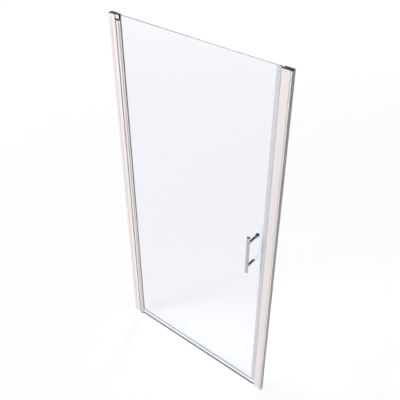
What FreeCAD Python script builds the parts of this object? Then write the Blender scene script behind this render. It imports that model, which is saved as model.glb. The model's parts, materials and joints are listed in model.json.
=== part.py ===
import FreeCAD, Part
import os
import math
import Sketcher
from types import SimpleNamespace

# Pivot shower door for a niche: two wall profiles with telescoping frame profiles,
# a round pivot post that turns on a lifting hinge, a clamped glass panel with its
# seals, and a bar handle with a knob on the inner side.
# X runs across the opening with the hinge at -X, Y runs into the shower and Z is up.
# The origin is on the tray, midway between the walls, at the front of the profiles.

SIZES = {
    # opening and profiles
    "overall_width": 975,
    "profile_height": 1948,
    "profile_depth": 24,
    "wall_lip": 5.5,
    "wall_sheet": 1.5,
    "wall_front_flange": 12,
    "wall_back_flange": 24,
    "slide_gap": 0.3,
    "face_sheet": 1.6,
    "edge_round": 0.8,
    "tongue_inset": 7.5,
    "tongue_sheet": 1.6,
    "flange_end_gap": 0.6,
    "hinge_lip_gap": 0.4,
    "hinge_face_width": 34.6,
    "valley_inset": 7.6,
    "valley_width": 15,
    "valley_depth": 2.5,
    "hollow_margin": 2.5,
    "hollow_depth": 1.2,
    "hinge_chamber_width": 8.5,
    "hinge_side_wall": 2.5,
    "strike_lip_groove": 2.6,
    "strike_face_width": 37.4,
    "strike_chamber_width": 16,
    # wall fixing holes
    "wall_hole_radius": 2.75,
    "wall_hole_margin": 149,
    # caps on the profile tops
    "cap_thickness": 2,
    "cap_round": 3,
    "cap_overhang": 0.5,
    "cap_inset": 1.5,
    "cap_plug_gap": 0.6,
    "cap_plug_depth": 10,
    "cap_bevel": 0.6,
    # telescoping lock screws and their covers
    "lock_screw_inset": 16,
    "lock_screw_margin": 239,
    "lock_shank_radius": 1.95,
    "lock_shank_length": 8.5,
    "lock_head_radius": 3.6,
    "lock_head_height": 1.8,
    "screw_hole_gap": 0.05,
    "cover_radius": 5.2,
    "cover_height": 3.2,
    "cover_wall": 1,
    # pivot post
    "post_radius": 11.8,
    "post_gap": 0.6,
    "post_bottom": 8,
    "post_top_drop": 7.5,
    "nose_reach": 14.6,
    "nose_thickness": 13,
    "post_slot_width": 7.2,
    "post_slot_inset": 2.2,
    "post_bore_radius": 8.5,
    "bottom_bore_depth": 22.5,
    "top_bore_depth": 22.5,
    "insert_gap": 0.05,
    # glass and its gasket
    "glass_thickness": 6,
    "glass_top_rise": 1.8,
    "glass_bottom": 12,
    "glass_arris": 0.5,
    "glass_inset": 1,
    "glass_step_gap": 0.7,
    "glass_notch_radius": 18.4,
    "glass_step_clearance": 1,
    # lifting hinge at the foot of the post
    "foot_thickness": 7,
    "foot_radius": 11.5,
    "foot_neck_width": 14,
    "foot_arm_height": 30,
    "pin_radius": 4,
    "pin_head_radius": 6,
    "pin_head_height": 2,
    "pin_head_inset": 0.2,
    "foot_pin_top": 29,
    "running_gap": 0.05,
    "lift_per_radian": 2.6,
    "cam_radius": 8.2,
    "cam_base": 3,
    "cam_gap": 0.15,
    "cam_overlap": 0.4,
    "cam_lead_degrees": 5,
    "post_cam_top": 23,
    "peg_radius": 1.2,
    "peg_spread": 6.2,
    "peg_depth": 3,
    # top pivot
    "top_arm_height": 34,
    "top_lug_height": 17,
    "top_lug_depth": 16,
    "arm_gap": 0.3,
    "bush_radius": 5.4,
    "bush_length": 7.5,
    "bush_flange_radius": 6.5,
    "bush_flange": 1.5,
    "block_counterbore": 6.7,
    "block_bore_gap": 0.03,
    "hex_across": 6.8,
    "hex_reach": 15.5,
    "hex_shoulder": 0.3,
    "collar_radius": 6.2,
    "collar_height": 2.4,
    "collar_gap": 0.2,
    "insert_flange": 1.5,
    "cover_plug_depth": 4.5,
    "cover_skirt": 1.3,
    # screws that hold the pivot blocks and the post inserts
    "block_shank_radius": 2.5,
    "block_shank_length": 12,
    "block_head_radius": 4.2,
    "block_head_height": 2,
    "block_screw_margin": 10,
    "block_screw_pitch": 14,
    "foot_screw_height": 8,
    "grub_radius": 2,
    "grub_height": 26,
    "grub_drop": 12,
    "grub_recess": 0.4,
    # magnetic closing seals
    "holder_depth": 5,
    "holder_width": 12,
    "holder_face": 1,
    "holder_neck": 6,
    "holder_barb": 10,
    "barb_thickness": 1.5,
    "holder_drop": 2,
    "magnet_gap": 0.8,
    "magnet_thickness": 2.5,
    "magnet_width": 8,
    "seal_sheet": 1,
    "seal_web": 1.2,
    "seal_leg": 9.1,
    "tube_width": 11.8,
    "tube_depth": 12,
    # bottom seal
    "seal_top": 40,
    "seal_leg_sheet": 1.2,
    "seal_base": 2.5,
    "drip_reach": 6,
    "drip_drop": 3.5,
    "drip_sheet": 1.1,
    "wiper_bottom": 0.5,
    "wiper_thickness": 2.4,
    "wiper_tip": 1.2,
    "seal_post_gap": 0.3,
    "seal_stack_gap": 0.6,
    # handle
    "handle_inset": 51.2,
    "handle_height": 998.5,
    "handle_pitch": 145,
    "bar_length": 221,
    "bar_radius": 8,
    "bar_bevel": 1.2,
    "bar_stand_off": 54,
    "stem_radius": 7.5,
    "thread_runout": 0.6,
    "stem_thread_depth": 14,
    "stud_radius": 3,
    "stud_gap": 0.05,
    "washer_radius": 7,
    "washer_thickness": 1,
    "washer_bore_gap": 0.2,
    "glass_hole_radius": 5,
    "sleeve_gap": 0.1,
    "stud_inner_length": 14,
    "knob_neck_radius": 7.5,
    "knob_neck": 1,
    "knob_radius": 13,
    "knob_length": 22,
    "knob_bevel": 1.2,
    "screw_head_radius": 4.2,
    "screw_head_height": 1.8,
    "button_radius": 6.5,
    "button_gap": 0.4,
    "button_wall": 1.4,
    "button_bevel": 0.8,
    # how far a cut runs past the surface it opens
    "cut_past": 1,
}


class Size:
    # A length that carries its number together with the sheet formula behind it.
    def __init__(self, text, value):
        self.text = text
        self.value = value

    def __add__(self, other):
        other = as_size(other)
        return Size(f"({self.text} + {other.text})", self.value + other.value)

    def __sub__(self, other):
        other = as_size(other)
        return Size(f"({self.text} - {other.text})", self.value - other.value)

    def __rsub__(self, other):
        return as_size(other) - self

    def __mul__(self, other):
        other = as_size(other)
        return Size(f"({self.text} * {other.text})", self.value * other.value)

    def __truediv__(self, other):
        other = as_size(other)
        return Size(f"({self.text} / {other.text})", self.value / other.value)

    def __neg__(self):
        return Size(f"(-1 * {self.text})", -self.value)


def as_size(number):
    if isinstance(number, Size):
        return number
    return Size(repr(float(number)), float(number))


doc = FreeCAD.newDocument("pivot_shower_door")
sheet = doc.addObject("Spreadsheet::Sheet", "sizes")
for row, (alias, number) in enumerate(SIZES.items(), 1):
    sheet.set(f"A{row}", alias)
    sheet.set(f"B{row}", str(number))
    sheet.setAlias(f"B{row}", alias)
doc.recompute()
s = SimpleNamespace(**{alias: Size(f"sizes.{alias}", float(n)) for alias, n in SIZES.items()})
ZERO = as_size(0)
pieces = []


def vector(x, y, z=0.0):
    return FreeCAD.Vector(x, y, z)


def new_body(name, x=ZERO, y=ZERO, z=ZERO):
    item = doc.addObject("PartDesign::Body", name)
    item.Label = name
    for key, size in (("x", x), ("y", y), ("z", z)):
        item.setExpression(f"Placement.Base.{key}", size.text)
    pieces.append(item)
    return item


def new_sketch(item, role, offset=None):
    sketch = item.newObject("Sketcher::SketchObject", f"{item.Label}_sketch")
    support = next(f for f in item.Origin.OriginFeatures if f.Role == role)
    sketch.AttachmentSupport = (support, [""])
    sketch.MapMode = "FlatFace"
    if offset is not None:
        sketch.setExpression("AttachmentOffset.Base.z", offset.text)
    return sketch


def pin_point(sketch, geometry, end, x, y):
    # Dimensions one point of the sketch from its origin.
    for kind, size in (("DistanceX", x), ("DistanceY", y)):
        constraint = Sketcher.Constraint(kind, -1, 1, geometry, end, size.value)
        index = sketch.addConstraint(constraint)
        sketch.setExpression(f"Constraints[{index}]", size.text)


def direction(a, b):
    dx = b[0].value - a[0].value
    dy = b[1].value - a[1].value
    length = math.hypot(dx, dy)
    return round(dx / length), round(dy / length)


def spread(corners):
    # Turns rounded square corners into their two tangent points and an arc.
    points = [c for c in corners if c[0] != "arc"]
    route = []
    for corner in corners:
        if corner[0] == "arc" or len(corner) == 2:
            route.append(corner)
            continue
        x, y, radius = corner
        place = points.index(corner)
        back = direction(corner, points[place - 1])
        ahead = direction(corner, points[(place + 1) % len(points)])
        turn = back[1] * ahead[0] - back[0] * ahead[1]
        route.append((x + radius * back[0], y + radius * back[1]))
        route.append(("arc", radius, turn > 0))
        route.append((x + radius * ahead[0], y + radius * ahead[1]))
    return route


def arc_between(a, b, radius, leftward):
    # The short arc from a to b; leftward turns anticlockwise.
    start = vector(a[0].value, a[1].value)
    end = vector(b[0].value, b[1].value)
    chord = end - start
    rise = math.sqrt(max(radius.value ** 2 - (chord.Length / 2) ** 2, 0))
    side = vector(-chord.y, chord.x) * (1 / chord.Length)
    centre = (start + end) * 0.5 + side * (rise if leftward else -rise)
    first, last = (start, end) if leftward else (end, start)
    angle = math.atan2(first.y - centre.y, first.x - centre.x)
    sweep = math.atan2(last.y - centre.y, last.x - centre.x) - angle
    if sweep < 0:
        sweep += 2 * math.pi
    circle = Part.Circle(centre, vector(0, 0, 1), radius.value)
    return Part.ArcOfCircle(circle, angle, angle + sweep)


def outline(sketch, corners):
    # A closed outline: (x, y) is a corner, (x, y, radius) a rounded one, and
    # ("arc", radius, leftward) makes the run to the next corner an arc.
    route = spread(corners)
    points = [p for p in route if p[0] != "arc"]
    bends = {}
    count = 0
    for entry in route:
        if entry[0] == "arc":
            bends[count - 1] = entry
        else:
            count += 1
    ends = []
    for i, point in enumerate(points):
        after = points[(i + 1) % len(points)]
        if i in bends:
            _, radius, leftward = bends[i]
            index = sketch.addGeometry(arc_between(point, after, radius, leftward), False)
            constraint = sketch.addConstraint(Sketcher.Constraint("Radius", index, radius.value))
            sketch.setExpression(f"Constraints[{constraint}]", radius.text)
            ends.append((index, 1, 2) if leftward else (index, 2, 1))
        else:
            line = Part.LineSegment(
                vector(point[0].value, point[1].value), vector(after[0].value, after[1].value)
            )
            ends.append((sketch.addGeometry(line, False), 1, 2))
    for i, (index, first, last) in enumerate(ends):
        following, begin, _ = ends[(i + 1) % len(ends)]
        sketch.addConstraint(Sketcher.Constraint("Coincident", index, last, following, begin))
    for (index, first, _), point in zip(ends, points):
        pin_point(sketch, index, first, as_size(point[0]), as_size(point[1]))


def circle(sketch, x, y, radius):
    shape = Part.Circle(vector(x.value, y.value), vector(0, 0, 1), radius.value)
    index = sketch.addGeometry(shape, False)
    constraint = sketch.addConstraint(Sketcher.Constraint("Radius", index, radius.value))
    sketch.setExpression(f"Constraints[{constraint}]", radius.text)
    pin_point(sketch, index, 3, x, y)


def rectangle(sketch, x0, y0, x1, y1):
    x0, y0, x1, y1 = (as_size(v) for v in (x0, y0, x1, y1))
    outline(sketch, [(x0, y0), (x1, y0), (x1, y1), (x0, y1)])


def pad(item, sketch, length, downward=False):
    feature = item.newObject("PartDesign::Pad", f"{item.Label}_pad")
    feature.Profile = sketch
    feature.Reversed = downward
    feature.setExpression("Length", length.text)
    doc.recompute()
    return feature


def pocket(item, sketch, depth, along_normal=False):
    before = item.Shape.Volume
    feature = item.newObject("PartDesign::Pocket", f"{item.Label}_pocket")
    feature.Profile = sketch
    feature.Reversed = along_normal
    feature.setExpression("Length", depth.text)
    doc.recompute()
    if not item.Shape.Volume < before - 1e-6:
        raise RuntimeError(f"a pocket in {item.Label} cuts nothing")
    return feature


def revolve(item, sketch):
    feature = item.newObject("PartDesign::Revolution", f"{item.Label}_revolution")
    feature.Profile = sketch
    feature.ReferenceAxis = (sketch, ["V_Axis"])
    feature.Angle = 360
    doc.recompute()
    return feature


def turned(name, role, corners, x=ZERO, y=ZERO, z=ZERO):
    # A round piece: the outline is radius against distance along the axis.
    item = new_body(name, x, y, z)
    sketch = new_sketch(item, role)
    outline(sketch, [c if c[0] == "arc" else tuple(as_size(v) for v in c) for c in corners])
    revolve(item, sketch)
    return item


def repeat(item, *runs):
    # Repeats the last feature along each run: an axis, a pitch and how many there are.
    grid = item.newObject("PartDesign::MultiTransform", f"{item.Label}_grid")
    grid.Originals = [item.Tip]
    rows = []
    for role, pitch, count in runs:
        row = item.newObject("PartDesign::LinearPattern", f"{item.Label}_row")
        axis = next(f for f in item.Origin.OriginFeatures if f.Role == role)
        row.Direction = (axis, [""])
        row.setExpression("Length", (pitch * (count - 1)).text)
        row.Occurrences = count
        rows.append(row)
    grid.Transformations = rows
    item.Tip = grid
    doc.recompute()


def bevel(item, size, wanted):
    # Bevels the edges of the last feature that the test picks.
    base = item.Tip
    box = base.Shape.BoundBox
    names = [f"Edge{i}" for i, e in enumerate(base.Shape.Edges, 1) if wanted(e.BoundBox, box)]
    feature = item.newObject("PartDesign::Chamfer", f"{item.Label}_bevel")
    feature.Base = (base, names)
    feature.setExpression("Size", size.text)
    doc.recompute()
    return feature


def bow_radius(width, depth):
    # The radius of a shallow arc from the width and depth of its hollow.
    return (width * width / 4 + depth * depth) / (depth * 2)


def on_top(edge, box):
    return edge.ZMin > box.ZMax - 1e-6


half_width = s.overall_width / 2
top_arm_bottom = s.profile_height - s.top_arm_height
lug_bottom = s.profile_height - s.top_lug_height
post_top = lug_bottom - s.post_top_drop
glass_top = s.profile_height + s.glass_top_rise
door_plane = s.profile_depth / 2
lug_front_y = door_plane - s.top_lug_depth / 2
lug_back_y = door_plane + s.top_lug_depth / 2
hinge_face_end = s.wall_lip + s.hinge_lip_gap + s.hinge_face_width
strike_face_end = s.wall_lip + s.strike_lip_groove + s.strike_face_width
pivot_inset = hinge_face_end + s.post_gap + s.post_radius
pivot_x = pivot_inset - half_width
holder_x = half_width - strike_face_end - s.holder_depth
seal_end_x = holder_x - s.magnet_gap
glass_edge_x = seal_end_x - s.tube_width - s.seal_web
glass_front = door_plane - s.glass_thickness / 2
glass_back = door_plane + s.glass_thickness / 2
front_flange_y = s.face_sheet + s.slide_gap
tongue_front_y = front_flange_y + s.wall_sheet + s.slide_gap
tongue_back_y = s.profile_depth - s.wall_sheet - s.slide_gap
chamber_front_y = s.face_sheet
chamber_back_y = s.profile_depth - s.face_sheet
chamber_end = hinge_face_end - s.hinge_side_wall
chamber_start = chamber_end - s.hinge_chamber_width
arm_start = chamber_start + s.arm_gap
arm_end = chamber_end - s.arm_gap
arm_front_y = chamber_front_y + s.arm_gap
arm_back_y = chamber_back_y - s.arm_gap
arm_middle = (arm_start + arm_end) / 2
handle_x = glass_edge_x - s.handle_inset
WALL_HOLES = 4
LOCK_SCREWS = 3
BLOCK_SCREWS = 2
HANDLE_STEMS = 2
CAM_LOBES = 2


def back_screw(name, x, z, shank, length, head, height):
    # A cheese-head screw driven towards the front, its head on the inner side.
    return turned(
        name,
        "XY_Plane",
        [
            (0, -length),
            (shank, -length),
            (shank, 0),
            (head, 0),
            (head, height),
            (0, height),
        ],
        x,
        s.profile_depth,
        z,
    )


def cross_holes(item, side, across, heights, radius, depth):
    # Round holes bored into the inner face of a profile, towards the front.
    sketch = new_sketch(item, "XZ_Plane", -s.profile_depth)
    for height in heights:
        circle(sketch, across * side, height, radius)
    pocket(item, sketch, depth, along_normal=True)


wall_hole_pitch = (s.profile_height - s.wall_hole_margin * 2) / (WALL_HOLES - 1)
wall_hole_heights = [s.wall_hole_margin + wall_hole_pitch * i for i in range(WALL_HOLES)]
lock_pitch = (s.profile_height - s.lock_screw_margin * 2) / (LOCK_SCREWS - 1)
lock_heights = [s.lock_screw_margin + lock_pitch * i for i in range(LOCK_SCREWS)]
lock_hole = s.lock_shank_radius + s.screw_hole_gap
tongue_hole_depth = s.wall_sheet + s.slide_gap + s.tongue_sheet + s.cut_past
block_hole = s.block_shank_radius + s.screw_hole_gap
top_screw_heights = [
    top_arm_bottom + s.block_screw_margin + s.block_screw_pitch * i for i in range(BLOCK_SCREWS)
]
foot_screw_heights = [s.foot_screw_height + s.block_screw_pitch * i for i in range(BLOCK_SCREWS)]


def wall_profile(name, side):
    # The channel that is screwed to the wall, open towards the door.
    item = new_body(name, half_width * -side)
    sketch = new_sketch(item, "XY_Plane")
    corners = [
        (ZERO, ZERO),
        (s.wall_lip, ZERO, s.slide_gap),
        (s.wall_lip, front_flange_y),
        (s.wall_front_flange, front_flange_y),
        (s.wall_front_flange, front_flange_y + s.wall_sheet),
        (s.wall_sheet, front_flange_y + s.wall_sheet),
        (s.wall_sheet, s.profile_depth - s.wall_sheet),
        (s.wall_back_flange, s.profile_depth - s.wall_sheet),
        (s.wall_back_flange, s.profile_depth, s.edge_round),
        (ZERO, s.profile_depth),
    ]
    outline(sketch, [(c[0] * side,) + c[1:] for c in corners])
    pad(item, sketch, s.profile_height)
    holes = new_sketch(item, "YZ_Plane")
    for height in wall_hole_heights:
        circle(holes, door_plane, height, s.wall_hole_radius)
    pocket(item, holes, s.wall_sheet + s.cut_past, along_normal=side > 0)
    cross_holes(item, side, s.lock_screw_inset, lock_heights, lock_hole, s.wall_sheet + s.cut_past)
    return item


def profile_cap(name, side, corners):
    # The moulded lid on a pair of profiles, with a plug between the tongue's flanges.
    item = new_body(name, half_width * -side, ZERO, s.profile_height)
    lid = new_sketch(item, "XY_Plane")
    outline(lid, [c if c[0] == "arc" else (c[0] * side,) + c[1:] for c in corners])
    pad(item, lid, s.cap_thickness)
    bevel(item, s.cap_bevel, on_top)
    plug = new_sketch(item, "XY_Plane")
    low_y = tongue_front_y + s.tongue_sheet + s.cap_plug_gap
    high_y = tongue_back_y - s.tongue_sheet - s.cap_plug_gap
    rectangle(plug, s.tongue_inset * side, low_y, (s.wall_back_flange - s.cap_plug_gap) * side, high_y)
    pad(item, plug, s.cap_plug_depth, downward=True)


# Hinge side: wall channel and the frame profile that slides in it. The front has a
# concave valley, and the side towards the post a shallow hollow.
wall_profile("hinge_wall_profile", 1)

hinge_frame = new_body("hinge_frame_profile", -half_width)
face_start = s.wall_lip + s.hinge_lip_gap
valley_start = face_start + s.valley_inset
valley_end = valley_start + s.valley_width
valley_radius = bow_radius(s.valley_width, s.valley_depth)
hollow_width = s.profile_depth - s.hollow_margin * 2
hollow_radius = bow_radius(hollow_width, s.hollow_depth)
hinge_web = chamber_start - s.tongue_sheet
section = new_sketch(hinge_frame, "XY_Plane")
outline(
    section,
    [
        (face_start, ZERO),
        (valley_start, ZERO),
        ("arc", valley_radius, False),
        (valley_end, ZERO),
        (hinge_face_end, ZERO, s.edge_round),
        (hinge_face_end, s.hollow_margin),
        ("arc", hollow_radius, False),
        (hinge_face_end, s.profile_depth - s.hollow_margin),
        (hinge_face_end, s.profile_depth, s.edge_round),
        (s.wall_back_flange + s.flange_end_gap, s.profile_depth),
        (s.wall_back_flange + s.flange_end_gap, tongue_back_y),
        (s.tongue_inset, tongue_back_y),
        (s.tongue_inset, tongue_back_y - s.tongue_sheet),
        (hinge_web, tongue_back_y - s.tongue_sheet),
        (hinge_web, tongue_front_y + s.tongue_sheet),
        (s.tongue_inset, tongue_front_y + s.tongue_sheet),
        (s.tongue_inset, tongue_front_y),
        (s.wall_front_flange + s.flange_end_gap, tongue_front_y),
        (s.wall_front_flange + s.flange_end_gap, s.face_sheet),
        (face_start, s.face_sheet),
    ],
)
rectangle(section, chamber_start, chamber_front_y, chamber_end, chamber_back_y)
pad(hinge_frame, section, s.profile_height)
notch_end = hinge_face_end + s.cut_past
top_notch = new_sketch(hinge_frame, "XY_Plane", lug_bottom)
rectangle(top_notch, arm_end, lug_front_y - s.arm_gap, notch_end, lug_back_y + s.arm_gap)
pocket(hinge_frame, top_notch, s.top_lug_height, along_normal=True)
foot_notch = new_sketch(hinge_frame, "XY_Plane")
neck_low = door_plane - s.foot_neck_width / 2
neck_high = door_plane + s.foot_neck_width / 2
rectangle(foot_notch, arm_end, neck_low - s.arm_gap, notch_end, neck_high + s.arm_gap)
pocket(hinge_frame, foot_notch, s.foot_thickness + s.arm_gap, along_normal=True)
cross_holes(hinge_frame, 1, s.lock_screw_inset, lock_heights, lock_hole, tongue_hole_depth)
block_screw_heights = top_screw_heights + foot_screw_heights
cross_holes(hinge_frame, 1, arm_middle, block_screw_heights, block_hole, s.face_sheet + s.arm_gap)

profile_cap(
    "hinge_profile_cap",
    1,
    [
        (s.cap_inset, s.cap_inset),
        (valley_start, s.cap_inset),
        ("arc", valley_radius, False),
        (valley_end, s.cap_inset),
        (hinge_face_end, s.cap_inset, s.edge_round),
        (hinge_face_end, s.profile_depth, s.edge_round),
        (s.cap_inset, s.profile_depth),
    ],
)


def arm_holes(item, heights):
    sketch = new_sketch(item, "XZ_Plane", -s.profile_depth)
    for height in heights:
        circle(sketch, arm_middle, height, block_hole)
    pocket(item, sketch, s.block_shank_length + s.screw_hole_gap, along_normal=True)


# Top pivot: a cast block with an arm in the end of the frame profile and a short lug
# over the post, with a flanged bush and a captive pin that the post turns.
top_block = new_body("top_pivot_block", -half_width)
pivot_right = pivot_inset + s.post_radius
skirt_start = pivot_right - s.cover_skirt
lug = new_sketch(top_block, "XY_Plane", lug_bottom)
rectangle(lug, arm_end, lug_front_y, skirt_start, lug_back_y)
pad(top_block, lug, s.top_lug_height)
arm = new_sketch(top_block, "XY_Plane", top_arm_bottom)
rectangle(arm, arm_start, arm_front_y, arm_end, arm_back_y)
pad(top_block, arm, s.top_arm_height)
through = new_sketch(top_block, "XY_Plane", lug_bottom)
circle(through, pivot_inset, door_plane, s.bush_radius + s.block_bore_gap)
pocket(top_block, through, s.top_lug_height, along_normal=True)
seat = new_sketch(top_block, "XY_Plane", lug_bottom + s.bush_length)
circle(seat, pivot_inset, door_plane, s.block_counterbore)
pocket(top_block, seat, s.top_lug_height, along_normal=True)
arm_holes(top_block, top_screw_heights)

# The cover is a moulded lid whose skirt hides the end of the lug.
top_cover = new_body("top_block_cover", -half_width, ZERO, s.profile_height)


def cover_plate(start, thickness, downward=False):
    sketch = new_sketch(top_cover, "XY_Plane")
    outline(
        sketch,
        [
            (start, lug_front_y),
            (pivot_right, lug_front_y, s.edge_round),
            (pivot_right, lug_back_y, s.edge_round),
            (start, lug_back_y),
        ],
    )
    pad(top_cover, sketch, thickness, downward)


cover_plate(hinge_face_end, s.cap_thickness)
bevel(top_cover, s.cap_bevel, on_top)
cover_plate(skirt_start, s.top_lug_height, downward=True)
plug = new_sketch(top_cover, "XY_Plane")
circle(plug, pivot_inset, door_plane, s.block_counterbore - s.running_gap)
pad(top_cover, plug, s.cover_plug_depth, downward=True)

turned(
    "top_pivot_bush",
    "XZ_Plane",
    [
        (s.pin_radius + s.running_gap, 0),
        (s.bush_radius, 0),
        (s.bush_radius, s.bush_length),
        (s.bush_flange_radius, s.bush_length),
        (s.bush_flange_radius, s.bush_length + s.bush_flange),
        (s.pin_radius + s.running_gap, s.bush_length + s.bush_flange),
    ],
    pivot_x,
    door_plane,
    lug_bottom,
)


def hexagon(sketch, across):
    point = across / math.sqrt(3)
    corners = [(point, ZERO), (point / 2, across / 2), (-point / 2, across / 2)]
    outline(sketch, corners + [(-x, -y) for x, y in corners])


collar_bottom = lug_bottom + s.bush_length + s.bush_flange + s.collar_gap
hex_top = lug_bottom - s.hex_shoulder
hex_bottom = post_top - s.hex_reach
top_pin = new_body("top_pivot_pin", pivot_x, door_plane)
shaft = new_sketch(top_pin, "XZ_Plane")
outline(
    shaft,
    [
        (ZERO, hex_top),
        (s.pin_radius, hex_top),
        (s.pin_radius, collar_bottom),
        (s.collar_radius, collar_bottom),
        (s.collar_radius, collar_bottom + s.collar_height),
        (ZERO, collar_bottom + s.collar_height),
    ],
)
revolve(top_pin, shaft)
hex_end = new_sketch(top_pin, "XY_Plane", hex_bottom)
hexagon(hex_end, s.hex_across)
pad(top_pin, hex_end, hex_top - hex_bottom)

# Foot pivot: an angled block in the end of the frame profile carries a fixed pin and
# the lower half of a pair of helical cams.
foot = new_body("bottom_pivot_block", -half_width)
plate = new_sketch(foot, "XY_Plane")
circle(plate, pivot_inset, door_plane, s.foot_radius)
pad(foot, plate, s.foot_thickness)
neck = new_sketch(foot, "XY_Plane")
rectangle(neck, arm_end, neck_low, pivot_inset, neck_high)
pad(foot, neck, s.foot_thickness)
arm = new_sketch(foot, "XY_Plane")
rectangle(arm, arm_start, arm_front_y, arm_end, arm_back_y)
pad(foot, arm, s.foot_arm_height)
pin_hole = new_sketch(foot, "XY_Plane")
circle(pin_hole, pivot_inset, door_plane, s.pin_radius + s.block_bore_gap)
pocket(foot, pin_hole, s.foot_thickness, along_normal=True)
head_hole = new_sketch(foot, "XY_Plane")
circle(head_hole, pivot_inset, door_plane, s.pin_head_radius + s.block_bore_gap)
pocket(foot, head_hole, s.pin_head_inset + s.pin_head_height, along_normal=True)
peg_holes = new_sketch(foot, "XY_Plane", s.foot_thickness)
for side in (-1, 1):
    circle(peg_holes, pivot_inset, door_plane + s.peg_spread * side, s.peg_radius + s.block_bore_gap)
pocket(foot, peg_holes, s.peg_depth + s.block_bore_gap)
arm_holes(foot, foot_screw_heights)

block_screws = back_screw(
    "pivot_block_screws",
    arm_middle - half_width,
    foot_screw_heights[0],
    s.block_shank_radius,
    s.block_shank_length,
    s.block_head_radius,
    s.block_head_height,
)
block_rise = top_screw_heights[0] - foot_screw_heights[0]
repeat(block_screws, ("Z_Axis", s.block_screw_pitch, BLOCK_SCREWS), ("Z_Axis", block_rise, 2))

turned(
    "bottom_pivot_pin",
    "XZ_Plane",
    [
        (0, s.pin_head_inset),
        (s.pin_head_radius, s.pin_head_inset),
        (s.pin_head_radius, s.pin_head_inset + s.pin_head_height),
        (s.pin_radius, s.pin_head_inset + s.pin_head_height),
        (s.pin_radius, s.foot_pin_top - s.edge_round),
        (s.pin_radius - s.edge_round, s.foot_pin_top),
        (0, s.foot_pin_top),
    ],
    pivot_x,
    door_plane,
)

# The cams have two ramps of half a turn each. The ramps fall anticlockwise, so the
# post rises as the door is opened outwards, and its weight closes it again.
cam_rise = s.lift_per_radian * math.pi
lobe_height = cam_rise + s.cam_overlap


def lift_cam(name, radius, bore, ring_low, ring_high, ramp_low):
    # A ring with two ramps, made a little wide and then turned to size.
    item = new_body(name, pivot_x, door_plane, s.foot_thickness)
    ring = new_sketch(item, "XY_Plane", ring_low)
    circle(ring, ZERO, ZERO, radius + s.cut_past)
    pad(item, ring, ring_high - ring_low)
    profile = new_sketch(item, "XZ_Plane")
    rectangle(profile, bore - s.cut_past, ramp_low, radius + s.cut_past, ramp_low + lobe_height)
    ramp = item.newObject("PartDesign::AdditiveHelix", f"{name}_ramp")
    ramp.Profile = profile
    ramp.ReferenceAxis = (profile, ["V_Axis"])
    ramp.Mode = 1
    ramp.setExpression("Pitch", (cam_rise * CAM_LOBES).text)
    ramp.Turns = 1 / CAM_LOBES
    ramp.LeftHanded = True
    doc.recompute()
    lobes = item.newObject("PartDesign::PolarPattern", f"{name}_lobes")
    lobes.Originals = [ramp]
    lobes.Axis = (next(f for f in item.Origin.OriginFeatures if f.Role == "Z_Axis"), [""])
    lobes.Angle = 360
    lobes.Occurrences = CAM_LOBES
    item.Tip = lobes
    doc.recompute()
    rims = new_sketch(item, "XY_Plane", ramp_low)
    for size in (bore, radius, radius + s.cut_past * 2):
        circle(rims, ZERO, ZERO, size)
    pocket(item, rims, ring_high + cam_rise + lobe_height - ramp_low, along_normal=True)
    return item


lower_cam = lift_cam(
    "lower_lift_cam",
    s.cam_radius,
    s.pin_radius + s.block_bore_gap,
    ZERO,
    s.cam_base,
    s.cam_base - lobe_height,
)
below = new_sketch(lower_cam, "XY_Plane")
circle(below, ZERO, ZERO, s.cam_radius + s.cut_past)
pocket(lower_cam, below, lobe_height)
pegs = new_sketch(lower_cam, "XY_Plane")
for side in (-1, 1):
    circle(pegs, ZERO, s.peg_spread * side, s.peg_radius)
pad(lower_cam, pegs, s.peg_depth, downward=True)

insert_radius = s.post_bore_radius - s.insert_gap
lead_rise = s.lift_per_radian * s.cam_lead_degrees * math.radians(1)
upper_low = s.cam_base + s.cam_gap + lead_rise
upper_cam = lift_cam(
    "post_lift_cam",
    insert_radius,
    s.pin_radius + s.running_gap,
    upper_low + cam_rise + s.running_gap,
    s.post_cam_top,
    upper_low,
)
# With the door shut the post's ramps stand a little ahead, so the steps don't meet.
upper_cam.setExpression("Placement.Rotation.Angle", (-s.cam_lead_degrees).text)
doc.recompute()

# Strike side: the same wall channel, a wider frame profile and the magnet that the
# door closes on.
wall_profile("strike_wall_profile", -1)

strike_frame = new_body("strike_frame_profile", half_width)
strike_start = s.wall_lip + s.strike_lip_groove
strike_inner = strike_face_end - s.face_sheet
strike_chamber = strike_inner - s.strike_chamber_width
strike_web = strike_chamber - s.tongue_sheet
neck_half = s.holder_neck / 2
corners = [
    (strike_start, ZERO),
    (strike_face_end, ZERO, s.edge_round),
    (strike_face_end, door_plane - neck_half),
    (strike_inner, door_plane - neck_half),
    (strike_inner, chamber_front_y),
    (strike_chamber, chamber_front_y),
    (strike_chamber, chamber_back_y),
    (strike_inner, chamber_back_y),
    (strike_inner, door_plane + neck_half),
    (strike_face_end, door_plane + neck_half),
    (strike_face_end, s.profile_depth, s.edge_round),
    (s.wall_back_flange + s.flange_end_gap, s.profile_depth),
    (s.wall_back_flange + s.flange_end_gap, tongue_back_y),
    (s.tongue_inset, tongue_back_y),
    (s.tongue_inset, tongue_back_y - s.tongue_sheet),
    (strike_web, tongue_back_y - s.tongue_sheet),
    (strike_web, tongue_front_y + s.tongue_sheet),
    (s.tongue_inset, tongue_front_y + s.tongue_sheet),
    (s.tongue_inset, tongue_front_y),
    (s.wall_front_flange + s.flange_end_gap, tongue_front_y),
    (s.wall_front_flange + s.flange_end_gap, s.face_sheet),
    (strike_start, s.face_sheet),
]
section = new_sketch(strike_frame, "XY_Plane")
outline(section, [(c[0] * -1,) + c[1:] for c in corners])
pad(strike_frame, section, s.profile_height)
cross_holes(strike_frame, -1, s.lock_screw_inset, lock_heights, lock_hole, tongue_hole_depth)

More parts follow.
